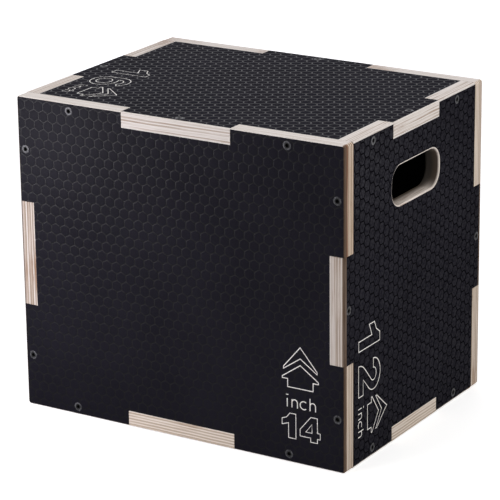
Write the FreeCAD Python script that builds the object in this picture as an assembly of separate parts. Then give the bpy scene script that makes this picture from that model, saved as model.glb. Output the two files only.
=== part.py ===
import FreeCAD, Part
import math
import os

from FreeCAD import Vector

# Plyo box: six film-faced plywood panels, finger-jointed and screwed at every edge.
# Millimetres, +Z up, origin at the centre of the underside, front at -Y.

# Overall sizes, one for each height at which the box can stand
box_width = 406.4
box_depth = 304.8
box_height = 355.6

# The sheet: a plywood core with a coarse grip film outside and a smooth film inside
sheet_thickness = 18.0
grip_film_thickness = 0.6
inner_film_thickness = 0.3

# Finger joints: the middle finger's share of each edge, and the saw gap beside it
finger_share = 1 / 3
finger_gap = 0.3

# Rounding of the box's corners, and of the long edges of the outer faces
corner_round = 3.5
edge_round = 2.0

# Handle slot in the left and right panels, and how far its middle is below the top
handle_length = 104.0
handle_height = 43.0
handle_corner = 18.0
handle_edge_round = 2.5
handle_drop = 71.5

# Countersunk one-piece screws with a hexagon socket
screw_length = 40.0
screw_head_diameter = 10.0
screw_head_rim = 0.5
screw_shank_diameter = 7.0
screw_tip_diameter = 4.5
screw_tip_length = 3.0
screw_socket_width = 4.0
screw_socket_depth = 3.0
screw_recess = 0.3
screw_clearance = 0.05
screw_tip_clearance = 0.5

# How far a cut runs past the faces that it opens, and how near counts as on a line
cut_overrun = 5.0
line_tolerance = 0.01

up = Vector(0, 0, 1)
origin = Vector(0, 0, 0)


class Panel:
    """One side of the box, in its own frame: u and v along the face, +Z out of it, outer face at 0.

    A side of the outline has either one tab in the middle, or a notch there and two ends that
    reach the box's edge. tab_u is for the two sides at +u and -u, tab_v for those at +v and -v.
    """

    def __init__(self, name, size_u, size_v, tab_u, tab_v, centre, u_axis, v_axis, has_handle=False):
        self.name = name
        self.half_u = size_u / 2
        self.half_v = size_v / 2
        self.tab_u = tab_u
        self.tab_v = tab_v
        self.has_handle = has_handle
        normal = u_axis.cross(v_axis)
        self.placement = FreeCAD.Placement(centre, FreeCAD.Rotation(u_axis, v_axis, normal, "ZXY"))

    def end_u(self):
        # Where the ends of the +u side stand, outside its middle finger
        return self.half_u - sheet_thickness if self.tab_u else self.half_u

    def end_v(self):
        return self.half_v - sheet_thickness if self.tab_v else self.half_v

    def owns_corners(self):
        return not self.tab_u and not self.tab_v


def placed(shape, placement):
    moved = shape.copy()
    moved.Placement = placement
    return moved


def finger_half(half_side, is_tab):
    # Half the width of a tab, or of the slightly wider notch that takes it
    gap = -finger_gap if is_tab else finger_gap
    return half_side * finger_share + gap / 2


def finger_outline(panel):
    # One quarter of the outline, from the middle of the +v side to the middle of the +u side,
    # then mirrored round the other three quarters
    end_u = panel.end_u()
    end_v = panel.end_v()
    middle_u = panel.half_u if panel.tab_u else panel.half_u - sheet_thickness
    middle_v = panel.half_v if panel.tab_v else panel.half_v - sheet_thickness
    finger_u = finger_half(panel.half_u, panel.tab_v)
    finger_v = finger_half(panel.half_v, panel.tab_u)
    quarter = [
        (finger_u, middle_v),
        (finger_u, end_v),
        (end_u, end_v),
        (end_u, finger_v),
        (middle_u, finger_v),
    ]
    loop = list(quarter)
    loop += [(u, -v) for u, v in reversed(quarter)]
    loop += [(-u, -v) for u, v in quarter]
    loop += [(-u, v) for u, v in reversed(quarter)]
    points = [Vector(u, v, 0) for u, v in loop]
    return Part.Face(Part.makePolygon(points + points[:1]))


def is_upright(edge):
    return edge.BoundBox.XLength < line_tolerance and edge.BoundBox.YLength < line_tolerance


def at_height(edge, height):
    low = abs(edge.BoundBox.ZMin - height) < line_tolerance
    high = abs(edge.BoundBox.ZMax - height) < line_tolerance
    return low and high


def box_corner_edges(board, panel):
    # The four edges through the sheet at the panel's own corners
    def at_corner(edge):
        point = edge.CenterOfMass
        along_u = abs(abs(point.x) - panel.half_u) < line_tolerance
        along_v = abs(abs(point.y) - panel.half_v) < line_tolerance
        return along_u and along_v

    return [edge for edge in board.Edges if is_upright(edge) and at_corner(edge)]


def box_long_edges(board, panel):
    # The edges of the outer face that run along the box's own edges
    def on_outline(vertex):
        along_u = abs(abs(vertex.X) - panel.half_u) < line_tolerance
        along_v = abs(abs(vertex.Y) - panel.half_v) < line_tolerance
        return along_u or along_v

    outer = [edge for edge in board.Edges if at_height(edge, 0)]
    return [edge for edge in outer if all(on_outline(vertex) for vertex in edge.Vertexes)]


def handle_cutter(panel):
    # A rounded oblong through the sheet, high in the panel
    depth = sheet_thickness + 2 * cut_overrun
    middle_v = panel.half_v - handle_drop
    corner = Vector(-handle_length / 2, middle_v - handle_height / 2, -sheet_thickness - cut_overrun)
    oblong = Part.makeBox(handle_length, handle_height, depth, corner)
    return oblong.makeFillet(handle_corner, [edge for edge in oblong.Edges if is_upright(edge)])


def with_handle(board, panel):
    # Cut the slot, then round its rim on both faces so that it is kind to the fingers
    cutter = handle_cutter(panel)
    board = board.cut(cutter)
    reach = cutter.BoundBox
    reach.enlarge(line_tolerance)
    rims = [edge for edge in board.Edges if at_height(edge, 0) or at_height(edge, -sheet_thickness)]
    rims = [edge for edge in rims if reach.isInside(edge.BoundBox)]
    return board.makeFillet(handle_edge_round, rims)


def make_board(panel):
    # The whole sheet of one panel, before it is drilled
    board = finger_outline(panel).extrude(-up * sheet_thickness)
    if panel.owns_corners():
        board = board.makeFillet(corner_round, box_corner_edges(board, panel))
    board = board.makeFillet(edge_round, box_long_edges(board, panel))
    if panel.has_handle:
        board = with_handle(board, panel)
    return board


def screw_places(panel):
    # A tab has one screw in its middle, and an end beside a notch has one in its own middle.
    # Each goes into the edge of the panel behind, half a sheet in from the outline.
    edge_u = panel.half_u - sheet_thickness / 2
    edge_v = panel.half_v - sheet_thickness / 2
    end_middle_u = (panel.end_u() + panel.half_u * finger_share) / 2
    end_middle_v = (panel.end_v() + panel.half_v * finger_share) / 2
    along_u = [0] if panel.tab_v else [-end_middle_u, end_middle_u]
    along_v = [0] if panel.tab_u else [-end_middle_v, end_middle_v]
    places = [(u, v) for u in along_u for v in (-edge_v, edge_v)]
    places += [(u, v) for u in (-edge_u, edge_u) for v in along_v]
    return [Vector(u, v, 0) for u, v in places]


def turned(profile):
    # A solid of revolution about Z from (radius, height) points
    points = [Vector(radius, 0, height) for radius, height in profile]
    return Part.Face(Part.makePolygon(points + points[:1])).revolve(origin, up, 360)


def make_screw():
    head_radius = screw_head_diameter / 2
    shank_radius = screw_shank_diameter / 2
    top = -screw_recess
    cone_foot = top - screw_head_rim - (head_radius - shank_radius)
    tip = top - screw_length
    body = turned([
        (0, top),
        (head_radius, top),
        (head_radius, top - screw_head_rim),
        (shank_radius, cone_foot),
        (shank_radius, tip + screw_tip_length),
        (screw_tip_diameter / 2, tip),
        (0, tip),
    ])
    hexagon_radius = screw_socket_width / math.sqrt(3)
    hexagon = [
        Vector(hexagon_radius * math.cos(turn * math.pi / 3), hexagon_radius * math.sin(turn * math.pi / 3), top)
        for turn in range(7)
    ]
    socket = Part.Face(Part.makePolygon(hexagon)).extrude(-up * screw_socket_depth)
    return body.cut(socket)


def make_screw_hole():
    # The countersunk and drilled hole that the screw fills, open at the outer face
    head_radius = screw_head_diameter / 2 + screw_clearance
    shank_radius = screw_shank_diameter / 2 + screw_clearance
    cone_top = -screw_recess - screw_head_rim
    bottom = -screw_recess - screw_length - screw_tip_clearance
    return turned([
        (0, cut_overrun),
        (head_radius, cut_overrun),
        (head_radius, cone_top),
        (shank_radius, cone_top - (head_radius - shank_radius)),
        (shank_radius, bottom),
        (0, bottom),
    ])


def layer(board, panel, outer_depth, inner_depth):
    # The slice of a panel between two depths below its outer face
    width = 2 * (panel.half_u + cut_overrun)
    height = 2 * (panel.half_v + cut_overrun)
    slab = Part.makeBox(width, height, inner_depth - outer_depth, Vector(-width / 2, -height / 2, -inner_depth))
    return board.common(placed(slab, panel.placement))


def write_node(name, shape):
    shape.exportStep(os.path.join("parts", name + ".step"))
    print(name, "solids", len(shape.Solids), "volume", round(shape.Volume, 1), "valid", shape.isValid())


half_width = box_width / 2
half_depth = box_depth / 2
half_height = box_height / 2
along_x = Vector(1, 0, 0)
along_y = Vector(0, 1, 0)
middle = Vector(0, 0, half_height)

# Front and back own the corners, the ends fit between them, the top and bottom fit inside all four
panels = [
    Panel("front", box_width, box_height, False, False, middle - along_y * half_depth, along_x, up),
    Panel("back", box_width, box_height, False, False, middle + along_y * half_depth, -along_x, up),
    Panel("right", box_depth, box_height, True, False, middle + along_x * half_width, along_y, up, True),
    Panel("left", box_depth, box_height, True, False, middle - along_x * half_width, -along_y, up, True),
    Panel("top", box_width, box_depth, True, True, middle + up * half_height, along_x, along_y),
    Panel("bottom", box_width, box_depth, True, True, middle - up * half_height, along_x, -along_y),
]

os.makedirs("parts", exist_ok=True)

screw = make_screw()
screw_hole = make_screw_hole()
screws = {}
holes = []
for panel in panels:
    spots = [panel.placement.multiply(FreeCAD.Placement(place, FreeCAD.Rotation())) for place in screw_places(panel)]
    screws[panel.name] = [placed(screw, spot) for spot in spots]
    holes += [placed(screw_hole, spot) for spot in spots]

for panel in panels:
    board = placed(make_board(panel), panel.placement)
    drilled = [hole for hole in holes if hole.BoundBox.intersect(board.BoundBox)]
    board = board.cut(drilled)
    core_depth = sheet_thickness - inner_film_thickness
    write_node(panel.name + "_grip_film", layer(board, panel, 0, grip_film_thickness))
    write_node(panel.name + "_panel", layer(board, panel, grip_film_thickness, core_depth))
    write_node(panel.name + "_inner_film", layer(board, panel, core_depth, sheet_thickness))
    write_node(panel.name + "_screws", Part.makeCompound(screws[panel.name]))
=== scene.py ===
import math

import bpy
import numpy as np
from mathutils import Matrix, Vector
from mathutils.geometry import delaunay_2d_cdt


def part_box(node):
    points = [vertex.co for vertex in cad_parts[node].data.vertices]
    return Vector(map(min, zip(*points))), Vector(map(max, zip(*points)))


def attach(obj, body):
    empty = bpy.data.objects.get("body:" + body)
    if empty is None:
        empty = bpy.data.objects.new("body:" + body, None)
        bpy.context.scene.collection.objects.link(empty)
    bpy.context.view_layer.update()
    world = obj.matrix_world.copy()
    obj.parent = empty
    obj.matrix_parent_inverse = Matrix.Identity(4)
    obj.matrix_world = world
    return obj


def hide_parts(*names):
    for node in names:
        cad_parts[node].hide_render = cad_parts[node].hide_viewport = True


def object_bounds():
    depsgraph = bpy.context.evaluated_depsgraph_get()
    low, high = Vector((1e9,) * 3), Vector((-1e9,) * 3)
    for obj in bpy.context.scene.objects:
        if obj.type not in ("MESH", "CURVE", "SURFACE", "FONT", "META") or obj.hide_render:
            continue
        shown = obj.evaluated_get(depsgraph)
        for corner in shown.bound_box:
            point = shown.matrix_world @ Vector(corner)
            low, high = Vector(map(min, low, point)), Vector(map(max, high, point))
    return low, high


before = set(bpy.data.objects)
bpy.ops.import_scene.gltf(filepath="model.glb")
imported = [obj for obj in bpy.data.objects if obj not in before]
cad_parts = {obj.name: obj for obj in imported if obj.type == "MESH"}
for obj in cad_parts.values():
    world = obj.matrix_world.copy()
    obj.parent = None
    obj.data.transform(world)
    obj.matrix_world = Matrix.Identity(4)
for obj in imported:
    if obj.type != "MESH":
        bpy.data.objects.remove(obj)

cadBox = [list(corner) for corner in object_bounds()]
boxLow, boxHigh = (np.array(corner) for corner in cadBox)
boxMiddle = (boxLow + boxHigh) / 2
boxHalf = (boxHigh - boxLow) / 2
filmFace, filmBack = (corner.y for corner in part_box("front_grip_film"))
filmThick = filmBack - filmFace
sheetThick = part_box("front_inner_film")[1].y - filmFace
print("frame loaded, box", np.round(boxHigh - boxLow, 4))

# The three kinds of side. tabU and tabV say which of its edges carry one middle finger instead of two end
# ones, and slot whether it has a handle. rows is the direction in which the film's hexagons stand in line,
# and shift moves them. line and cell are how glossy the grooves and the cells between them are, patchy is
# how uneven, and bare is how far the film stops short of the box's edges.
broadSide = dict(tabU=False, tabV=False, slot=False, rows="u", shift=(0.0050, 0.0024), line=1.0, cell=1.0,
                 patchy=0.0, bare=(0.0014, 0.0011))
endSide = dict(tabU=True, tabV=False, slot=True, rows="v", shift=(-0.0019, 0.0045), line=0.0, cell=1.28,
               patchy=1.0, bare=(0.0042, 0.0020))
flatSide = dict(tabU=True, tabV=True, slot=False, rows="v", shift=(-0.0001, -0.0007), line=1.65, cell=0.58,
                patchy=0.4, bare=(0.0013, 0.0013))
# u runs along a side, v up it, and u x v points out
sides = {
    "front": dict(broadSide, u=(1, 0, 0), v=(0, 0, 1)),
    "back": dict(broadSide, u=(-1, 0, 0), v=(0, 0, 1)),
    "right": dict(endSide, u=(0, 1, 0), v=(0, 0, 1)),
    "left": dict(endSide, u=(0, -1, 0), v=(0, 0, 1)),
    "top": dict(flatSide, u=(1, 0, 0), v=(0, 1, 0)),
    "bottom": dict(flatSide, u=(1, 0, 0), v=(0, -1, 0)),
}
for sideName, side in sides.items():
    side["name"] = sideName
    side["axes"] = np.array([side["u"], side["v"], np.cross(side["u"], side["v"])], float)
    side["half"] = np.abs(side["axes"]) @ boxHalf
    side["centre"] = boxMiddle + side["axes"][2] * side["half"][2]

# The sheet's cuts, as they are in the panels under the film
cuts = dict(
    fingerShare=1 / 3,
    fingerGap=0.0003,
    cornerRound=0.0035,
    cornerSteps=6,
    edgeRound=0.002,
    edgeDrops=(0.85, 0.55, 0.3, 0.1, 0),  # rows over a rounded edge, as shares of the film's thickness
    slotHalf=(0.052, 0.0215),
    slotCorner=0.018,
    slotSteps=12,
    slotRound=0.0025,
    slotDrop=0.0715,
    slotBare=0.0019,
    bareSunk=0.0002,
    screwHole=0.00505,
    screwHoleSteps=32,
    crease=math.radians(30),
)


# Shader maths: one socket of a node tree, where arithmetic adds Math nodes
class Sock:
    def __init__(self, tree, link):
        self.tree = tree
        self.link = link

    def node(self, kind, settings=None, inputs=None, out=0):
        made = self.tree.nodes.new(kind)
        for key, value in (settings or {}).items():
            if key == "stops":
                fillRamp(made.color_ramp, value)
            else:
                setattr(made, key, value)
        for key, value in (inputs or {}).items():
            if isinstance(value, Sock):
                self.tree.links.new(value.link, made.inputs[key])
            else:
                made.inputs[key].default_value = value
        return Sock(self.tree, made.outputs[out])

    def math(self, operation, first, second=0.0):
        return self.node("ShaderNodeMath", {"operation": operation}, {0: first, 1: second})

    def __add__(self, other):
        return self.math("ADD", self, other)

    __radd__ = __add__

    def __sub__(self, other):
        return self.math("SUBTRACT", self, other)

    def __rsub__(self, other):
        return self.math("SUBTRACT", other, self)

    def __mul__(self, other):
        return self.math("MULTIPLY", self, other)

    __rmul__ = __mul__

    def __truediv__(self, other):
        return self.math("DIVIDE", self, other)

    def __abs__(self):
        return self.math("ABSOLUTE", self)

    def ramp(self, low, high):
        # 0 below low, 1 above high, eased between
        return self.node("ShaderNodeMapRange", {"interpolation_type": "SMOOTHSTEP"},
                         {"Value": self, "From Min": low, "From Max": high})

    def noise(self, scale, detail=2.0, rough=0.5, stretch=(1, 1, 1)):
        # self is a place; stretch squeezes the noise along each axis
        place = self.node("ShaderNodeMapping", None, {"Vector": self, "Scale": stretch})
        return self.node("ShaderNodeTexNoise", None,
                         {"Vector": place, "Scale": scale, "Detail": detail, "Roughness": rough})

    def blend(self, dark, light):
        # self is the share of light
        return self.node("ShaderNodeMix", {"data_type": "RGBA"}, {0: self, 6: dark, 7: light}, out=2)

    def tones(self, stops):
        # self is a place along a row of colours
        return self.node("ShaderNodeValToRGB", {"stops": stops}, {0: self})

    def bump(self, strength, depth):
        # self is the height, as a share of depth
        return self.node("ShaderNodeBump", None, {"Strength": strength, "Distance": depth, "Height": self})

    def stored(self, name):
        # a value that the mesh keeps at each point
        return self.node("ShaderNodeAttribute", {"attribute_name": name}, out="Fac")


def fillRamp(ramp, stops):
    while len(ramp.elements) < len(stops):
        ramp.elements.new(1)
    for element, (place, colour) in zip(ramp.elements, stops):
        element.position = place
        element.color = colour


def newMaterial(name):
    made = bpy.data.materials.new(name)
    made.use_nodes = True
    made.node_tree.nodes.clear()
    root = Sock(made.node_tree, None)
    return made, root.node("ShaderNodeTexCoord", out="Object")


def finishTree(shader, output="ShaderNodeOutputMaterial"):
    last = shader.tree.nodes.new(output)
    shader.tree.links.new(shader.link, last.inputs["Surface"])


def shade(place, sockets):
    # a Principled shader with these sockets, sent to the material's output
    finishTree(place.node("ShaderNodeBsdfPrincipled", None, sockets))


gripLook = dict(
    dark=(0.0060, 0.0055, 0.0088, 1),
    light=(0.0125, 0.0116, 0.0176, 1),
    # the grooves' colour, darker than the cells: painted shade
    groove=(0.0026, 0.0024, 0.0034, 1),
    cloudScale=9,
    speckScale=420,
    grainScale=1800,
    cloudShare=0.3,
    speckShare=0.5,
    grainShare=0.2,
    toneRange=(0.35, 0.65),
    rough=0.50,
    roughCloud=0.6,
    roughGrain=0.4,
    roughSpread=0.16,
    cellCoat=0.055,
    coatLeast=0.25,
    coatMore=1.5,
    coatRange=(0.3, 0.7),
    lineCoat=0.20,
    coatRough=0.36,
    bump=(0.12, 0.0004),
)


def gripFilmMaterial():
    # black resin film: cloudy, speckled and finely grained, its grooves painted darker as painted shade, and
    # glossier where line is set
    look = gripLook
    made, place = newMaterial("grip_film_black")
    cloud = place.noise(look["cloudScale"], detail=4, rough=0.6)
    grain = place.noise(look["grainScale"], detail=2, rough=0.6)
    groove, line, cell, patchy = (place.stored(name) for name in ("groove", "line", "cell", "patchy"))
    speck = 0.5 + patchy * (place.noise(look["speckScale"], detail=2, rough=0.6) - 0.5)
    tone = cloud * look["cloudShare"] + speck * look["speckShare"] + grain * look["grainShare"]
    top = tone.ramp(*look["toneRange"]).blend(look["dark"], look["light"])
    rough = cloud * look["roughCloud"] + grain * look["roughGrain"] - 0.5
    cellGloss = look["coatLeast"] + look["coatMore"] * speck.ramp(*look["coatRange"])
    # the grooves take the darker groove colour: painted shade
    shade(place, {
        "Base Color": groove.blend(top, look["groove"]),
        "Roughness": look["rough"] + rough * look["roughSpread"],
        "Coat Weight": cell * look["cellCoat"] * cellGloss + line * look["lineCoat"],
        "Coat Roughness": look["coatRough"],
        "Specular IOR Level": 0.0,
        "Normal": grain.bump(*look["bump"]),
    })
    return made


innerLook = dict(dark=(0.010, 0.008, 0.007, 1), light=(0.018, 0.014, 0.012, 1), cloudScale=14, rough=0.38,
                 roughMore=0.15)


def innerFilmMaterial():
    # smooth dark brown resin film inside the box
    look = innerLook
    made, place = newMaterial("inner_film_brown")
    cloud = place.noise(look["cloudScale"], detail=4, rough=0.6)
    shade(place, {
        "Base Color": cloud.blend(look["dark"], look["light"]),
        "Roughness": look["rough"] + cloud * look["roughMore"],
    })
    return made


# Where a value has three entries, they are for the left and right panels, the front and back ones, and the
# top and bottom ones. The two numbers of a reach are where it starts and where it is full, in metres.
plyLook = dict(
    layers=11,
    tones=[(0.0, (0.77, 0.72, 0.685, 1)), (0.3, (0.71, 0.65, 0.605, 1)), (0.62, (0.53, 0.437, 0.374, 1)),
           (1.0, (0.32, 0.24, 0.18, 1))],
    wanderScale=16,  # the layers' slow wander
    wander=0.0018,
    tintFar=31.0,  # numbers that keep the layers' tints of two panels apart
    tintAxis=7.0,
    fibre=(22.0, 800.0),  # noise along the layers and across them
    patch=(9.0, 640.0),
    patchRange=(0.3, 0.7),
    driftScale=11,
    poreScale=1300,
    leastDark=(0.15, 0.15, 0.42),  # the dark layers
    patchLeast=0.25,
    patchMore=0.95,
    paleDark=0.35,  # and the pale ones between
    fibreDark=0.9,
    contrast=(2.5, 1.15, 0.84),  # on upright edges, then on level ones
    contrastFlat=(1.4, 0.7, 0.84),
    contrastBottom=2.2,
    uprightReach=(0.01, 0.03),
    # the side panels' upright ends: a darker brown, partly the wood's tone and partly painted shade, with
    # more painted shade on the right panel
    endsToneAndShade=(0.45, 0.375, 0.32, 1),
    warmBottom=(0.92, 0.77, 0.61, 1),
    warmShare=0.36,
    leftToneAndShade=0.55,
    rightShadeMore=0.4,
    streak=(0.28, 0.15, 0.08, 1),
    streakRange=(0.57, 0.65),
    streakShare=0.8,
    glue=(0.24, 0.16, 0.11, 1),
    glueBelow=(0.0, 0.16),  # shares of a layer's thickness
    glueAbove=(0.86, 1.0),
    glueFibre=(0.33, 0.7),
    glueShare=0.25,
    glueMore=0.45,
    ends=[(0.0, (0.78, 0.70, 0.63, 1)), (0.35, (0.64, 0.50, 0.385, 1)), (0.7, (0.45, 0.35, 0.245, 1)),
          (1.0, (0.29, 0.20, 0.135, 1))],
    endDark=0.5,
    endTint=0.8,
    endPatch=0.15,
    endFibre=0.7,
    endHigh=(0.18, -0.36),  # upper half of the front's ends, and what the back's differ by
    highReach=(-0.06, 0.06),
    sealer=(0.106, 0.068, 0.046, 1),
    sealerReach=[((0.0015, 0.0035), (0.0034, 0.0062)), ((0.0015, 0.0035), (0.0026, 0.0046)),
                 ((0.0008, 0.0020), (0.0008, 0.0020))],
    sealerHigh=0.0026,
    sealerLeast=0.75,
    sealerFibre=0.4,
    sealerBack=0.7,  # how much of it the back's ends lack
    raggedDrift=0.003,
    raggedFibre=0.002,
    rust=(0.152, 0.060, 0.030, 1),
    rustReach=(0.0030, 0.0046),
    slotAcross=(0.06, 0.07),  # in from the box's sides, and from its top
    slotDown=(0.03, 0.04),
    slotEnd=(0.103, 0.124),
    # the handle slot's walls painted paler: painted light
    slotLight=(0.88, 0.79, 0.72, 1),
    slotLightShare=0.7,
    # painted shade in the handle slot: brown, then darker still innermost near the slot's ends
    slotShade=(0.066, 0.045, 0.029, 1),
    slotShadeDark=(0.008, 0.006, 0.003, 1),
    slotShadeReach=(0.0060, 0.0150),
    slotShadeEarly=(-0.0004, 0.0030),
    slotShadeInner=(0.0030, 0.0120),
    slotShadeShare=0.94,
    heightFibre=0.6,
    heightPore=0.4,
    heightGlue=0.5,
    bump=(0.25, 0.0003),
    rough=0.6,
    roughFibre=0.25,
    gloss=0.08,
)


def layerStretch(axis, along, across):
    # how noise is squeezed along the layers, and across them on their own axis
    stretch = [along, along, along]
    stretch[axis] = across
    return stretch


def plyMaterial(axis):
    # cut plywood: layers stacked along one axis, every other one dark, each of its own tint and fibre, with
    # thin glue lines between and a few brown streaks. On the upright ends of the front and back panels the
    # other layers are the dark ones, and brown sealer lies along the box's edge. The side panels' upright
    # ends are browner and darker, partly their own tone and partly painted shade, most on the right panel.
    # The handle slots' walls are painted paler as painted light, and painted shade darkens them deep inside,
    # and early at the slot's ends.
    look = plyLook
    made, place = newMaterial("birch_ply_" + "xyz"[axis])
    reach = [place.node("ShaderNodeSeparateXYZ", None, {0: place}, out=number) - float(boxMiddle[number])
             for number in range(3)]
    inward = [float(half) - abs(offset) for half, offset in zip(boxHalf, reach)]
    far = place.math("GREATER_THAN", reach[axis], 0.0)
    upright = inward[2].ramp(*look["uprightReach"])
    if axis == 0:
        inSlot = inward[1].ramp(*look["slotAcross"]) * inward[2].ramp(*look["slotDown"])
        upright = upright * (1 - inSlot)

    # the layer at each point, its share of the way through it, and its own tint
    wander = (place.noise(look["wanderScale"], stretch=layerStretch(axis, 1.0, 0.0)) - 0.5) * look["wander"]
    level = (inward[axis] + wander) / (sheetThick / look["layers"])
    step = level.math("FLOOR", level)
    within = level - step
    odd = step.math("MODULO", step, 2.0)
    seed = step + far * look["tintFar"] + look["tintAxis"] * axis
    tint = step.node("ShaderNodeTexWhiteNoise", {"noise_dimensions": "1D"}, {"W": seed}, out="Value")
    fibre = place.noise(1.0, detail=4, rough=0.65, stretch=layerStretch(axis, *look["fibre"]))
    patch = place.noise(1.0, stretch=layerStretch(axis, *look["patch"])).ramp(*look["patchRange"])
    drift = place.noise(look["driftScale"])
    pore = place.noise(look["poreScale"], detail=1)

    # bare wood
    least = look["leastDark"][axis]
    darkLayers = odd * (least + (1 - least) * tint) * (look["patchLeast"] + look["patchMore"] * patch)
    dusk = darkLayers + (1 - odd) * look["paleDark"] * tint * patch
    contrast, flatContrast = (look[key][axis] for key in ("contrast", "contrastFlat"))
    contrast = upright * (contrast - flatContrast) + flatContrast
    if axis == 2:
        contrast = contrast * (look["contrastBottom"] + (1 - look["contrastBottom"]) * far)
    body = (dusk * contrast + (fibre - 0.5) * look["fibreDark"]).tones(look["tones"])
    if axis == 0:
        # darker brown on the side panels' upright ends: partly the wood's tone, partly painted shade, most
        # on the right panel
        toneAndShade = (look["leftToneAndShade"] + look["rightShadeMore"] * far) * upright
        body = (toneAndShade * look["warmShare"]).blend(body, look["endsToneAndShade"])
        # the slot's walls painted paler, as painted light
        body = (inSlot * look["slotLightShare"]).blend(body, look["slotLight"])
    if axis == 2:
        body = ((1 - far) * look["warmShare"]).blend(body, look["warmBottom"])

    # nearness to the box's upright edges, along x and along y
    ragged = (drift - 0.5) * look["raggedDrift"] + (fibre - 0.5) * look["raggedFibre"]
    edge = [inward[0], inward[1] + ragged]
    if axis == 1:
        high = reach[2].ramp(*look["highReach"])
        edge[1] = edge[1] - high * look["sealerHigh"]
    near = [1 - distance.ramp(*limits) for distance, limits in zip(edge, look["sealerReach"][axis])]
    if axis == 1:
        ends = (1 - odd) * (look["endDark"] + look["endTint"] * tint) + odd * look["endPatch"] * patch
        ends = ends + (fibre - 0.5) * look["endFibre"]
        ends = ends + high * (look["endHigh"][0] + look["endHigh"][1] * far)
        body = near[0].blend(body, ends.tones(look["ends"]))

    # streaks, glue lines, sealer and stain
    streaks = (fibre * 0.5 + drift * 0.5).ramp(*look["streakRange"]) * look["streakShare"]
    body = streaks.blend(body, look["streak"])
    wood = within.ramp(*look["glueBelow"]) * (1 - within.ramp(*look["glueAbove"]))
    glueLine = (1 - wood) * fibre.ramp(*look["glueFibre"])
    colour = (glueLine * (look["glueShare"] + look["glueMore"] * tint)).blend(body, look["glue"])
    sealer = look["sealer"]
    sealed = near[0] * near[1] * (look["sealerLeast"] + look["sealerFibre"] * fibre)
    if axis == 1:
        sealer = inward[1].ramp(*look["rustReach"]).blend(sealer, look["rust"])
        sealed = sealed * (1 - look["sealerBack"] * far)
    colour = sealed.blend(colour, sealer)
    if axis == 0:
        # painted shade deep in the handle slot, starting early at its ends and darkest innermost
        slotEnd = 1 - inward[1].ramp(*look["slotEnd"])
        late, early = (inward[0].ramp(*look[key]) for key in ("slotShadeReach", "slotShadeEarly"))
        paintedShade = (late + slotEnd * (early - late)) * inSlot
        inner = slotEnd * inward[0].ramp(*look["slotShadeInner"])
        slotShade = inner.blend(look["slotShade"], look["slotShadeDark"])
        colour = (paintedShade * look["slotShadeShare"]).blend(colour, slotShade)

    height = fibre * look["heightFibre"] + pore * look["heightPore"] - glueLine * look["heightGlue"]
    shade(place, {
        "Base Color": colour,
        "Roughness": look["rough"] + look["roughFibre"] * fibre,
        "Specular IOR Level": look["gloss"],
        "Normal": height.bump(*look["bump"]),
    })
    return made


markLook = dict(
    pale=(0.95, 0.93, 0.91, 1),
    worn=(0.80, 0.76, 0.72, 1),
    fibreScale=260,
    grainScale=1400,
    fibreShare=0.6,
    grainShare=0.4,
    toneRange=(0.35, 0.65),
    rough=0.6,
    roughGrain=0.3,
    gloss=0.2,
    bump=(0.3, 0.0002),
)


def markMaterial():
    # bare birch showing where the film is cut away
    look = markLook
    made, place = newMaterial("birch_mark")
    fibre = place.noise(look["fibreScale"], detail=3, rough=0.6)
    grain = place.noise(look["grainScale"])
    tone = (fibre * look["fibreShare"] + grain * look["grainShare"]).ramp(*look["toneRange"])
    shade(place, {
        "Base Color": tone.blend(look["worn"], look["pale"]),
        "Roughness": look["rough"] + look["roughGrain"] * grain,
        "Specular IOR Level": look["gloss"],
        "Normal": grain.bump(*look["bump"]),
    })
    return made


screwLook = dict(
    dark=(0.010, 0.010, 0.011, 1),
    # the rim's lighter colour: partly wear, partly a painted highlight
    worn=(0.108, 0.108, 0.117, 1),
    speckScale=420,
    speckRange=(0.3, 0.7),
    rough=0.42,
    roughSpeck=0.15,
    coat=0.35,
    coatRough=0.3,
)


def screwMaterial():
    # black-oxide steel, lighter on its rim: partly wear, partly a painted highlight
    look = screwLook
    made, place = newMaterial("screw_black_oxide")
    speck = place.noise(look["speckScale"], detail=3, rough=0.6)
    wornAndHighlight = place.stored("rim") * speck.ramp(*look["speckRange"])
    shade(place, {
        "Base Color": wornAndHighlight.blend(look["dark"], look["worn"]),
        "Roughness": look["rough"] + look["roughSpeck"] * speck,
        "Specular IOR Level": 0.0,
        "Coat Weight": look["coat"],
        "Coat Roughness": look["coatRough"],
    })
    return made


# Meshes
def addMesh(name, points, polygons, material, crease, values):
    mesh = bpy.data.meshes.new(name)
    mesh.from_pydata(points.tolist(), [], polygons)
    mesh.validate()
    mesh.shade_smooth()
    mesh.set_sharp_from_angle(angle=crease)
    for key, numbers in values.items():
        mesh.attributes.new(key, "FLOAT", "POINT").data.foreach_set("value", numbers.astype(np.float32))
    mesh.materials.append(material)
    piece = bpy.data.objects.new(name, mesh)
    bpy.context.scene.collection.objects.link(piece)
    return piece


def onSide(side, flat, height):
    # place along u and v and height above the face, turned into the box's frame
    local = np.column_stack([flat, height])
    return side["centre"] + local @ side["axes"]


def arc(centre, radius, fromTurn, toTurn, count):
    # centre + radius x (cosine, sine) of evenly spaced angles, in degrees
    turn = np.radians(np.linspace(fromTurn, toTurn, count))
    return np.asarray(centre) + np.column_stack([np.cos(turn), np.sin(turn)]) * np.reshape(radius, (-1, 1))


def ringOf(centre, radius, count):
    return arc(centre, radius, 0, 360, count + 1)[:-1]


def ownsCorners(side):
    return not side["tabU"] and not side["tabV"]


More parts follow.
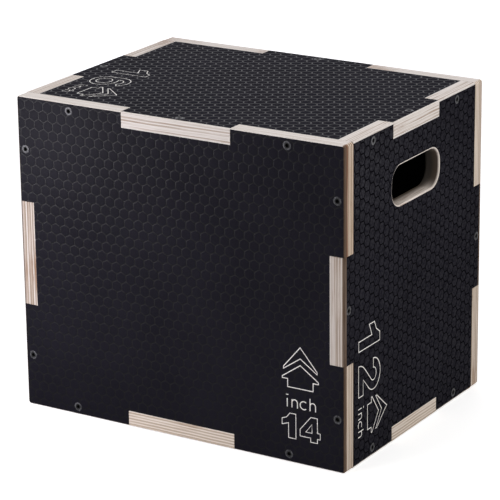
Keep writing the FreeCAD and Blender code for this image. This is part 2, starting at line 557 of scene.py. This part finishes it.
def fingerOutline(side, insetU, insetV):
    # the panel's outline, drawn in by the insets where it reaches the box's own edges:
    # one quarter from the middle of the +v edge to the middle of the +u edge, then mirrored round
    halfU, halfV = side["half"][:2]
    outU, outV = halfU - insetU, halfV - insetV
    inU, inV = halfU - sheetThick, halfV - sheetThick
    endU, midU = (inU, outU) if side["tabU"] else (outU, inU)
    endV, midV = (inV, outV) if side["tabV"] else (outV, inV)
    gap = cuts["fingerGap"] / 2
    fingerU = halfU * cuts["fingerShare"] + (-gap if side["tabV"] else gap)
    fingerV = halfV * cuts["fingerShare"] + (-gap if side["tabU"] else gap)
    corner = np.array([[endU, endV]])
    if ownsCorners(side):
        bend = cuts["cornerRound"] - insetU
        corner = arc((endU - bend, endV - bend), bend, 90, 0, cuts["cornerSteps"])
    before = [[fingerU, midV], [fingerU, endV]]
    after = [[endU, fingerV], [midU, fingerV]]
    quarter = np.concatenate([before, corner, after])
    flips = [(1, 1), (1, -1), (-1, -1), (-1, 1)]
    return np.concatenate([quarter[::flip[0] * flip[1]] * flip for flip in flips])


def slotMiddle(side):
    return np.array([0, side["half"][1] - cuts["slotDrop"]])


def slotOutline(side, grow):
    # the rounded oblong of the handle, grown outwards by grow
    halfU, halfV = np.array(cuts["slotHalf"]) + grow
    bend = cuts["slotCorner"] + grow
    middle = slotMiddle(side)
    bends = []
    for a, b, turn in ((1, 1, 0), (-1, 1, 90), (-1, -1, 180), (1, -1, 270)):
        centre = middle + np.array([a * (halfU - bend), b * (halfV - bend)])
        bends.append(arc(centre, bend, turn, turn + 90, cuts["slotSteps"]))
    return np.concatenate(bends)


def screwSpots(side):
    # one screw in the middle of each tab, or of each end beside a notch, half a sheet from the edge
    halfU, halfV = side["half"][:2]
    edgeU, edgeV = halfU - sheetThick / 2, halfV - sheetThick / 2
    share = cuts["fingerShare"]
    alongU = (halfU - (sheetThick if side["tabU"] else 0) + halfU * share) / 2
    alongV = (halfV - (sheetThick if side["tabV"] else 0) + halfV * share) / 2
    placesU = [0] if side["tabV"] else [-alongU, alongU]
    placesV = [0] if side["tabU"] else [-alongV, alongV]
    spots = [(u, v) for u in placesU for v in (-edgeV, edgeV)]
    return np.array(spots + [(u, v) for u in (-edgeU, edgeU) for v in placesV])


# Height marks: plain numbers, the word inch and an arrow, cut as lines through the film.
# Each shape stands on 0 and is 1 high, before it is scaled.
digitShapes = {
    "1": [np.array([(0.60, 1), (0.60, 0), (0.28, 0), (0.28, 0.60),
                    (0, 0.50), (0, 0.74), (0.20, 0.82), (0.34, 1)])],
    "1 slim": [np.array([(0.60, 1), (0.60, 0), (0.325, 0), (0.325, 0.62),
                         (0, 0.50), (0, 0.74), (0.22, 0.83), (0.364, 1)])],
    "2": [np.concatenate([
        arc((0.32, 0.68), 0.32, 180, -38, 20),
        [(0.32, 0.21), (0.64, 0.21), (0.64, 0)],
        arc((0.40, 0), 0.40, 180, 138, 6),
        arc((0.32, 0.68), 0.13, -38, 180, 14),
    ])],
    "4": [
        np.array([(0.46, 1), (0.74, 1), (0.74, 0.41), (0.86, 0.41), (0.86, 0.17), (0.74, 0.17), (0.74, 0),
                  (0.45, 0), (0.45, 0.165), (0, 0.165), (0, 0.43)]),
        np.array([(0.51, 0.72), (0.51, 0.37), (0.24, 0.37)]),
    ],
    "6": [
        np.concatenate([
            arc((0.33, 0.67), 0.33, 35, 180, 14),
            arc((0.33, 0.33), 0.33, 180, 475, 30),
            arc((0.33, 0.67), 0.17, 180, 35, 8),
        ]),
        ringOf((0.33, 0.33), 0.19, 20),
    ],
}
arrowShapes = [
    np.array([(0, 1.02), (0.45, 0.492), (0.45, 0.436), (0, 0.745), (-0.45, 0.436), (-0.45, 0.492)]),
    np.array([(0, 0.58), (0.485, 0.245), (0.485, 0.20), (0.342, 0.20), (0.342, 0),
              (-0.342, 0), (-0.342, 0.20), (-0.485, 0.20), (-0.485, 0.245)]),
]
letterStrokes = [
    np.array([(0.10, 0), (0.10, 0.66)]),
    np.array([(0, 0.96), (0.20, 0.96)]),
    np.array([(0.50, 0), (0.50, 0.66)]),
    np.concatenate([[(0.50, 0.40)], arc((0.73, 0.41), 0.23, 150, 0, 8), [(0.96, 0)]]),
    arc((1.50, 0.33), 0.31, 50, 310, 16),
    np.array([(2.02, 0), (2.02, 0.98)]),
    np.concatenate([[(2.02, 0.40)], arc((2.25, 0.41), 0.23, 150, 0, 8), [(2.48, 0)]]),
]

# Where the marks lie, in metres. Those that stand up along v are measured from the middle of the face's
# lower edge, and those along u lie on their side and are measured down from its upper left corner. Each has
# its own corner, or the foot of the arrow's middle, and its size.
marks = dict(
    sunk=0.00012,
    mitreLeast=0.5,  # a corner's line is moved out by twice its reach at most
    front=dict(
        up="v",
        line=0.0011,
        digitLine=0.0009,
        letterLine=0.0012,
        digits=[("1", (0.1274, 0.0277), (0.0168, 0.0279)), ("4", (0.1493, 0.0278), (0.0244, 0.0278))],
        word=((0.1324, 0.0624), (0.0144, 0.0143)),
        arrow=((0.1499, 0.0849), 0.0450),
    ),
    right=dict(
        up="u",
        line=0.0011,
        digitLine=0.0011,
        letterLine=0.0011,
        digits=[("1 slim", (0.2056, 0.0294), (0.0241, 0.0450)), ("2", (0.2458, 0.0292), (0.0346, 0.0463))],
        word=((0.2922, 0.0283), (0.0132, 0.0118)),
        arrow=((0.3084, 0.0483), 0.0410),
    ),
    top=dict(
        up="u",
        line=0.0010,
        digitLine=0.0010,
        letterLine=0.0010,
        digits=[("1 slim", (0.1492, 0.0336), (0.0230, 0.0445)), ("6", (0.1889, 0.0314), (0.0343, 0.0468))],
        word=((0.2323, 0.0318), (0.0132, 0.0118)),
        arrow=((0.2514, 0.0520), 0.0415),
    ),
)


def offsetLine(points, reach, closed):
    # each point moved sideways by reach along the mitre of its two neighbours
    ahead = np.roll(points, -1, 0) - points
    behind = points - np.roll(points, 1, 0)
    if not closed:
        ahead[-1], behind[0] = behind[-1], ahead[0]
    ahead /= np.linalg.norm(ahead, axis=1, keepdims=True)
    behind /= np.linalg.norm(behind, axis=1, keepdims=True)
    mitre = ahead + behind
    mitre = np.column_stack([-mitre[:, 1], mitre[:, 0]])
    normal = np.column_stack([-ahead[:, 1], ahead[:, 0]])
    scale = reach / np.maximum(np.sum(mitre * normal, axis=1), marks["mitreLeast"])
    return points + mitre * scale[:, None]


def turning(loop):
    # twice the area inside a loop, positive where it runs against the clock
    return np.sum(loop[:, 0] * np.roll(loop[:, 1], -1) - np.roll(loop[:, 0], -1) * loop[:, 1])


def ccw(loop):
    return loop if turning(loop) > 0 else loop[::-1]


def markLoops(side):
    # outlines of every cut line on a face: +1 round the line, and -1 round what stands inside it
    mark = marks.get(side["name"])
    if mark is None:
        return []
    closed = []
    for digit, corner, (width, height) in mark["digits"]:
        scale = (width / digitShapes[digit][0][:, 0].max(), height)
        closed += [(shape * scale + corner, mark["digitLine"]) for shape in digitShapes[digit]]
    place, size = mark["arrow"]
    closed += [(shape * size + place, mark["line"]) for shape in arrowShapes]
    loops = []
    for shape, line in closed:
        pair = [offsetLine(shape, reach, True) for reach in (line / 2, -line / 2)]
        inner, outer = sorted(pair, key=lambda loop: abs(turning(loop)))
        loops += [(outer, 1), (inner, -1)]
    place, size = mark["word"]
    reach = mark["letterLine"] / 2
    for letterStroke in letterStrokes:
        stroke = letterStroke * size + place
        left, right = offsetLine(stroke, reach, False), offsetLine(stroke, -reach, False)
        loops.append((np.concatenate([left, right[::-1]]), 1))
    halfU, halfV = side["half"][:2]

    def laid(loop):
        # from the mark's own frame to the face's
        if mark["up"] == "v":
            return loop - (0, halfV)
        return np.column_stack([loop[:, 1] - halfU, halfV - loop[:, 0]])

    return [(laid(loop), weight) for loop, weight in loops]


# The film's raised pattern: hexagon pillows parted by narrow grooves
hexes = dict(
    pitch=0.012,
    grooveFloor=0.00045,
    grooveEdge=0.00085,
    shoulder=0.00130,
    depth=0.00016,
    ease=0.00002,
)
hexRow = hexes["pitch"] * math.sqrt(3) / 2


def hexCentres(side):
    # rows of cells a pitch apart, every other row moved by half a pitch; swapped where the rows run along v
    pitch = hexes["pitch"]
    reach = side["half"][:2] + 2 * pitch
    if side["rows"] == "v":
        reach = reach[::-1]
    across = np.arange(-math.ceil(reach[0] / pitch), math.ceil(reach[0] / pitch) + 1)
    rows = np.arange(-math.ceil(reach[1] / hexRow), math.ceil(reach[1] / hexRow) + 1)
    gridU, gridV = np.meshgrid(across, rows)
    centres = np.column_stack([((gridU + (gridV % 2) / 2) * pitch).ravel(), (gridV * hexRow).ravel()])
    return (centres if side["rows"] == "u" else centres[:, ::-1]) + side["shift"]


def hexBorder(side, flat):
    # distance from each point to the nearest line of the honeycomb: half the pitch less the largest distance
    # from the nearest cell's middle along the hexagon's three directions
    pitch = hexes["pitch"]
    point = flat - side["shift"]
    if side["rows"] == "v":
        point = point[:, ::-1]
    period = np.array([pitch, 2 * hexRow])
    shift = np.array([pitch / 2, hexRow])
    even = point - np.round(point / period) * period
    odd = point - shift - np.round((point - shift) / period) * period
    nearEven = np.sum(even ** 2, 1) < np.sum(odd ** 2, 1)
    away = np.abs(np.where(nearEven[:, None], even, odd))
    apothem = np.maximum(away[:, 0], away[:, 0] / 2 + away[:, 1] * math.sqrt(3) / 2)
    return pitch / 2 - apothem


def hexRing(side, centres, apothem):
    # every cell's hexagon at one distance from its middle
    turn = np.radians(np.arange(6) * 60 + 30)
    corner = np.column_stack([np.cos(turn), np.sin(turn)]) * apothem * 2 / math.sqrt(3)
    if side["rows"] == "v":
        corner = corner[:, ::-1]
    return centres[:, None, :] + corner


def roundedDrop(distance, radius):
    # how far a rounded edge lies below the face at a distance in from it, a quarter circle:
    # radius less the root of radius squared less (radius - distance) squared
    inside = np.clip(radius - distance, 0, radius)
    return radius - np.sqrt(radius ** 2 - inside ** 2)


def edgeDistance(flat, middle, half, bend):
    # distance in from the sides of a rounded oblong, negative outside it
    out = np.abs(flat - middle) - (np.asarray(half) - bend)
    corner = np.linalg.norm(np.maximum(out, 0), axis=1)
    return bend - corner - np.minimum(np.max(out, axis=1), 0)


def edgeDrop(side, flat):
    # how far the box's rounded edges, and the slot's, lie below the face
    bend = cuts["cornerRound"] if ownsCorners(side) else 0
    drop = roundedDrop(edgeDistance(flat, 0, side["half"][:2], bend), cuts["edgeRound"])
    if side["slot"]:
        away = -edgeDistance(flat, slotMiddle(side), cuts["slotHalf"], cuts["slotCorner"])
        drop = np.maximum(drop, roundedDrop(away, cuts["slotRound"]))
    return drop


def filmHeight(side, flat):
    # flat-topped cells: 0 on their tops, eased by a shoulder, falling straight to -depth at the grooves,
    # and never above the rounded edges
    border = hexBorder(side, flat)
    ease = np.clip((hexes["shoulder"] - border) / (hexes["shoulder"] - hexes["grooveEdge"]), 0, 1)
    groove = np.clip((hexes["grooveEdge"] - border) / (hexes["grooveEdge"] - hexes["grooveFloor"]), 0, 1)
    height = -hexes["ease"] * ease - (hexes["depth"] - hexes["ease"]) * groove
    return np.minimum(height, -edgeDrop(side, flat)), {
        "groove": groove,
        "line": groove * side["line"],
        "cell": (1 - groove) * side["cell"],
        "patchy": np.full(len(flat), side["patchy"]),
    }


def edgeHeight(side, flat):
    # bare wood beside the film: just below it, then over the rounded edge
    return -np.maximum(edgeDrop(side, flat), cuts["bareSunk"]), {}


def markHeight(side, flat):
    # bare wood in the cut lines, just below the face
    return np.full(len(flat), -marks["sunk"]), {}


def rimInsets(radius):
    # distances in from a rounded edge at which the film has dropped by the shares in edgeDrops
    drop = filmThick * np.array(cuts["edgeDrops"])
    return radius - np.sqrt(radius ** 2 - (radius - drop) ** 2)


def triangulate(regions, plain, rings):
    # lay all outlines and hexagons into one flat mesh of triangles; in each region a loop adds its weight to
    # the triangles inside it, and those that end with 1 belong to the region
    weighted = [pair for region in regions for pair in region]
    home = np.repeat(np.arange(len(regions)), [len(region) for region in regions])
    weights = np.array([weight for loop, weight in weighted])
    loops = [ccw(loop) for loop, weight in weighted] + plain
    starts = np.cumsum([0] + [len(loop) for loop in loops])
    points = np.concatenate(loops + [rings.reshape(-1, 2)])
    following = np.arange(1, starts[-1] + 1)
    following[starts[1:] - 1] = starts[:-1]
    edges = np.column_stack([np.arange(starts[-1]), following])
    ringStart = np.arange(len(rings) * rings.shape[1]).reshape(rings.shape[:2]) + starts[-1]
    ringEdges = np.stack([ringStart, np.roll(ringStart, -1, 1)], 2).reshape(-1, 2)
    edges = np.concatenate([edges, ringEdges])
    faces = [list(range(starts[number], starts[number + 1])) for number in range(len(weighted))]
    allTriangles, mergeWithin = 0, 1e-7
    made = delaunay_2d_cdt(points.tolist(), edges.tolist(), faces, allTriangles, mergeWithin, True)
    flat = np.array([tuple(point) for point in made[0]])
    corners = np.array(made[2])
    owner = np.repeat(np.arange(len(corners)), [len(inside) for inside in made[5]])
    inside = np.array([number for numbers in made[5] for number in numbers])
    belongs = [
        np.bincount(owner, weights[inside] * (home[inside] == number), len(corners)) > 0.5
        for number in range(len(regions))
    ]
    return flat, corners, belongs


def closedSheet(corners, count):
    # top triangles, the same ones turned over underneath, and a wall along every open edge
    edges = np.concatenate([corners[:, [0, 1]], corners[:, [1, 2]], corners[:, [2, 0]]])
    key = edges.min(1) * count + edges.max(1)
    shared, first, uses = np.unique(key, return_index=True, return_counts=True)
    rim = edges[first[uses == 1]]
    walls = np.column_stack([rim[:, 0], rim[:, 0] + count, rim[:, 1] + count, rim[:, 1]])
    return corners.tolist() + (corners[:, ::-1] + count).tolist() + walls.tolist()


def sheetPiece(name, side, flat, corners, heightOf, material):
    # a closed sheet whose top follows heightOf and whose underside is the film's own
    used, corners = np.unique(corners, return_inverse=True)
    corners = corners.reshape(-1, 3)
    flat = flat[used]
    height, values = heightOf(side, flat)
    points = np.concatenate([onSide(side, flat, height), onSide(side, flat, np.full(len(flat), -filmThick))])
    values = {key: np.concatenate([numbers, numbers * 0]) for key, numbers in values.items()}
    piece = addMesh(name, points, closedSheet(corners, len(flat)), material, cuts["crease"], values)
    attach(piece, "root")
    print(name, len(piece.data.polygons), "faces")
    return piece


def gripFilm(side, film, markWood, edgeWood):
    rims = rimInsets(cuts["edgeRound"])
    sheet = [(fingerOutline(side, rims[0], rims[0]), 1)]
    sheet += [(ringOf(spot, cuts["screwHole"], cuts["screwHoleSteps"]), -1) for spot in screwSpots(side)]
    covered = [(fingerOutline(side, *side["bare"]), 1)]
    plain = [fingerOutline(side, inset, inset) for inset in rims[1:]]
    if side["slot"]:
        grows = rimInsets(cuts["slotRound"])
        sheet.append((slotOutline(side, grows[0]), -1))
        covered.append((slotOutline(side, cuts["slotBare"]), -1))
        plain += [slotOutline(side, grow) for grow in grows[1:]]
    centres = hexCentres(side)
    borders = [hexes["grooveFloor"], hexes["grooveEdge"], hexes["shoulder"]]
    rings = np.concatenate([hexRing(side, centres, hexes["pitch"] / 2 - border) for border in borders])
    flat, corners, (onSheet, onFilm, onMark) = triangulate([sheet, covered, markLoops(side)], plain, rings)
    filmed = onSheet & onFilm
    beside = onSheet & ~onFilm
    name = side["name"]
    piece = sheetPiece(name + "_grip", side, flat, corners[filmed & ~onMark], filmHeight, film)
    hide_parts(name + "_grip_film")
    sheetPiece(name + "_edge_wood", side, flat, corners[beside], edgeHeight, edgeWood)
    if np.any(onMark):
        sheetPiece(name + "_marks", side, flat, corners[filmed & onMark], markHeight, markWood)


# Screws: a turned profile whose socket rows follow a hexagon
screwShape = dict(
    steps=36,
    crease=math.radians(40),
    rows=[  # radius, height, share of the hexagon, share of the lighter rim: wear and painted highlight
        (0.00231, -0.00330, 1, 0),
        (0.00231, -0.00048, 1, 0),
        (0.00252, -0.00030, 1, 0),
        (0.00300, -0.00030, 0, 0),
        (0.00345, -0.00030, 0, 1),
        (0.00465, -0.00032, 0, 1),
        (0.00490, -0.00040, 0, 0.6),
        (0.00500, -0.00056, 0, 0.3),
        (0.00500, -0.00080, 0, 0),
        (0.00350, -0.00230, 0, 0),
        (0.00350, -0.03730, 0, 0),
        (0.00225, -0.04030, 0, 0),
    ],
)


def screwSet(side, material):
    # radius(turn, row) = row radius times 1, or times the hexagon's own outline where the row is the socket;
    # the first and last rows close to a point on the axis
    steps = screwShape["steps"]
    turn = np.arange(steps) * 2 * math.pi / steps
    outline = math.cos(math.pi / 6) / np.cos(turn % (math.pi / 3) - math.pi / 6)
    radius, height, hexagon, worn = np.array(screwShape["rows"]).T
    radius = radius[:, None] * (1 + hexagon[:, None] * (outline - 1))
    rows = len(height)
    rounds = np.stack([radius * np.cos(turn), radius * np.sin(turn)], 2).reshape(-1, 2)
    flat = np.concatenate([rounds, [(0, 0), (0, 0)]])
    tall = np.concatenate([np.repeat(height, steps), [height[0], height[-1]]])
    # where the rim is lighter: partly wear, partly a painted highlight
    rim = np.concatenate([np.repeat(worn, steps), [0, 0]])
    grid = np.arange(rows * steps).reshape(rows, steps)
    after = np.roll(grid, -1, 1)
    quads = np.stack([grid[:-1], grid[1:], after[1:], after[:-1]], 2).reshape(-1, 4)
    floor = np.column_stack([grid[0], after[0], np.full(steps, rows * steps)])
    tip = np.column_stack([after[-1], grid[-1], np.full(steps, rows * steps + 1)])
    spots = screwSpots(side)
    count = len(flat)
    points = np.concatenate([onSide(side, flat + spot, tall) for spot in spots])
    polygons = []
    for number in range(len(spots)):
        for part in (quads, floor, tip):
            polygons += (part + number * count).tolist()
    piece = addMesh(side["name"] + "_screw_set", points, polygons, material, screwShape["crease"],
                    {"rim": np.tile(rim, len(spots))})
    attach(piece, "root")
    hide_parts(side["name"] + "_screws")


gripMaterial = gripFilmMaterial()
innerMaterial = innerFilmMaterial()
blackScrew = screwMaterial()
birchMark = markMaterial()
plyMaterials = [plyMaterial(axis) for axis in range(3)]
print("materials made")
for sideName, side in sides.items():
    axis = int(np.argmax(np.abs(side["axes"][2])))
    gripFilm(side, gripMaterial, birchMark, plyMaterials[axis])
    screwSet(side, blackScrew)
    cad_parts[sideName + "_panel"].material_slots[0].material = plyMaterials[axis]
    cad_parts[sideName + "_inner_film"].material_slots[0].material = innerMaterial
print("films, screws and panels dressed")


# Camera, fitted to the box's outline and edges. Angles are in degrees and focal in pixels of the picture.
view = dict(
    turn=31.759,
    rise=18.212,
    roll=-0.672,
    distance=2.9624,
    target=(-0.0041, 0, 0.1689),
    focal=2676.0,
    picture=500,
    sensor=36,
)


def addCamera():
    turn, rise, roll = (math.radians(view[key]) for key in ("turn", "rise", "roll"))
    back = np.array([math.sin(turn) * math.cos(rise), -math.cos(turn) * math.cos(rise), math.sin(rise)])
    right = np.array([math.cos(turn), math.sin(turn), 0])
    up = np.cross(back, right)
    rolledRight = right * math.cos(roll) + up * math.sin(roll)
    rolledUp = up * math.cos(roll) - right * math.sin(roll)
    lens = bpy.data.cameras.new("camera")
    lens.sensor_width = view["sensor"]
    lens.lens = view["focal"] / view["picture"] * lens.sensor_width
    camera = bpy.data.objects.new("camera", lens)
    pose = np.eye(4)
    pose[:3, :3] = np.column_stack([rolledRight, rolledUp, back])
    pose[:3, 3] = np.array(view["target"]) + view["distance"] * back
    camera.matrix_world = Matrix(pose.tolist())
    bpy.context.scene.collection.objects.link(camera)
    bpy.context.scene.camera = camera


# Floor and light. The floor glows where it is seen, by floorGlow at the box and fully further off. A lamp
# looks at the box's middle unless it has an aim, and a spread in degrees narrows its beam.
stage = dict(
    floorHalf=8.0,
    floorDrop=0.0004,
    floorColour=(0.80, 0.80, 0.80, 1),
    floorGlow=0.6,
    glowReach=(0.7, 3.0),
    world=0.12,
)
lamps = [
    dict(name="key", place=(-0.50, -1.04, 1.08), size=0.6, power=6.4, colour=(1, 0.99, 0.98)),
    dict(name="sheen", place=(-0.52, -0.63, 0.19), size=0.22, power=2.6, colour=(0.95, 0.92, 1)),
    dict(name="sheen_right", place=(0.60, 0.42, 0.15), size=0.12, power=0.055, colour=(0.97, 0.96, 1),
         aim=(0.20, -0.38, 0.47), spread=62),
    dict(name="top", place=(-0.2, 0.3, 2.2), size=1.6, power=16.8, colour=(0.97, 0.97, 1)),
    dict(name="fill", place=(1.5, -0.15, 1.0), size=1.1, power=13.9, colour=(1, 0.98, 0.96)),
    dict(name="rim", place=(-1.1, 1.8, 1.0), size=1.3, power=7, colour=(0.93, 0.91, 1)),
]


def seenRay(root):
    # 1 for what the camera sees, straight or in a gloss or through glass, and 0 for light on the object
    kinds = ("Is Camera Ray", "Is Glossy Ray", "Is Transmission Ray")
    rays = [root.node("ShaderNodeLightPath", out=kind) for kind in kinds]
    return root.math("MAXIMUM", root.math("MAXIMUM", rays[0], rays[1]), rays[2])


def addFloor():
    half = stage["floorHalf"]
    corners = [(x * half, y * half, -stage["floorDrop"]) for x, y in ((-1, -1), (1, -1), (1, 1), (-1, 1))]
    mesh = bpy.data.meshes.new("floor")
    mesh.from_pydata(corners, [], [(0, 1, 2, 3)])
    floor = bpy.data.objects.new("floor", mesh)
    bpy.context.scene.collection.objects.link(floor)
    made, place = newMaterial("floor_white")
    distance = place.node("ShaderNodeVectorMath", {"operation": "LENGTH"}, {0: place}, out="Value")
    away = distance.ramp(*stage["glowReach"])
    strength = seenRay(place) * (stage["floorGlow"] + away * (1 - stage["floorGlow"]))
    glow = place.node("ShaderNodeEmission", None, {"Color": strength})
    paint = place.node("ShaderNodeBsdfDiffuse", None, {"Color": stage["floorColour"]})
    finishTree(place.node("ShaderNodeAddShader", None, {0: glow, 1: paint}))
    mesh.materials.append(made)


def lookAlong(aim):
    # a lamp shines along its own -Z
    back = -aim / np.linalg.norm(aim)
    right = np.cross((0, 0, 1), back)
    right /= np.linalg.norm(right)
    turned = np.eye(4)
    turned[:3, :3] = np.column_stack([right, np.cross(back, right), back])
    return Matrix(turned.tolist())


def addLamp(lamp):
    data = bpy.data.lights.new(lamp["name"], "AREA")
    data.energy = lamp["power"]
    data.color = lamp["colour"]
    data.size = lamp["size"]
    data.spread = math.radians(lamp.get("spread", 180))
    light = bpy.data.objects.new(lamp["name"], data)
    place = np.array(lamp["place"])
    aim = np.array(lamp.get("aim", boxMiddle)) - place
    light.matrix_world = Matrix.Translation(place.tolist()) @ lookAlong(aim)
    bpy.context.scene.collection.objects.link(light)


def addWorld():
    world = bpy.data.worlds.new("studio")
    bpy.context.scene.world = world
    world.use_nodes = True
    world.node_tree.nodes.clear()
    root = Sock(world.node_tree, None)
    strength = stage["world"] + seenRay(root) * (1 - stage["world"])
    sky = root.node("ShaderNodeBackground", None, {"Color": (1, 1, 1, 1), "Strength": strength})
    finishTree(sky, "ShaderNodeOutputWorld")


addFloor()
for lamp in lamps:
    addLamp(lamp)
addWorld()
addCamera()
bpy.context.scene.view_settings.view_transform = "Standard"
print("stage, lamps and camera set")
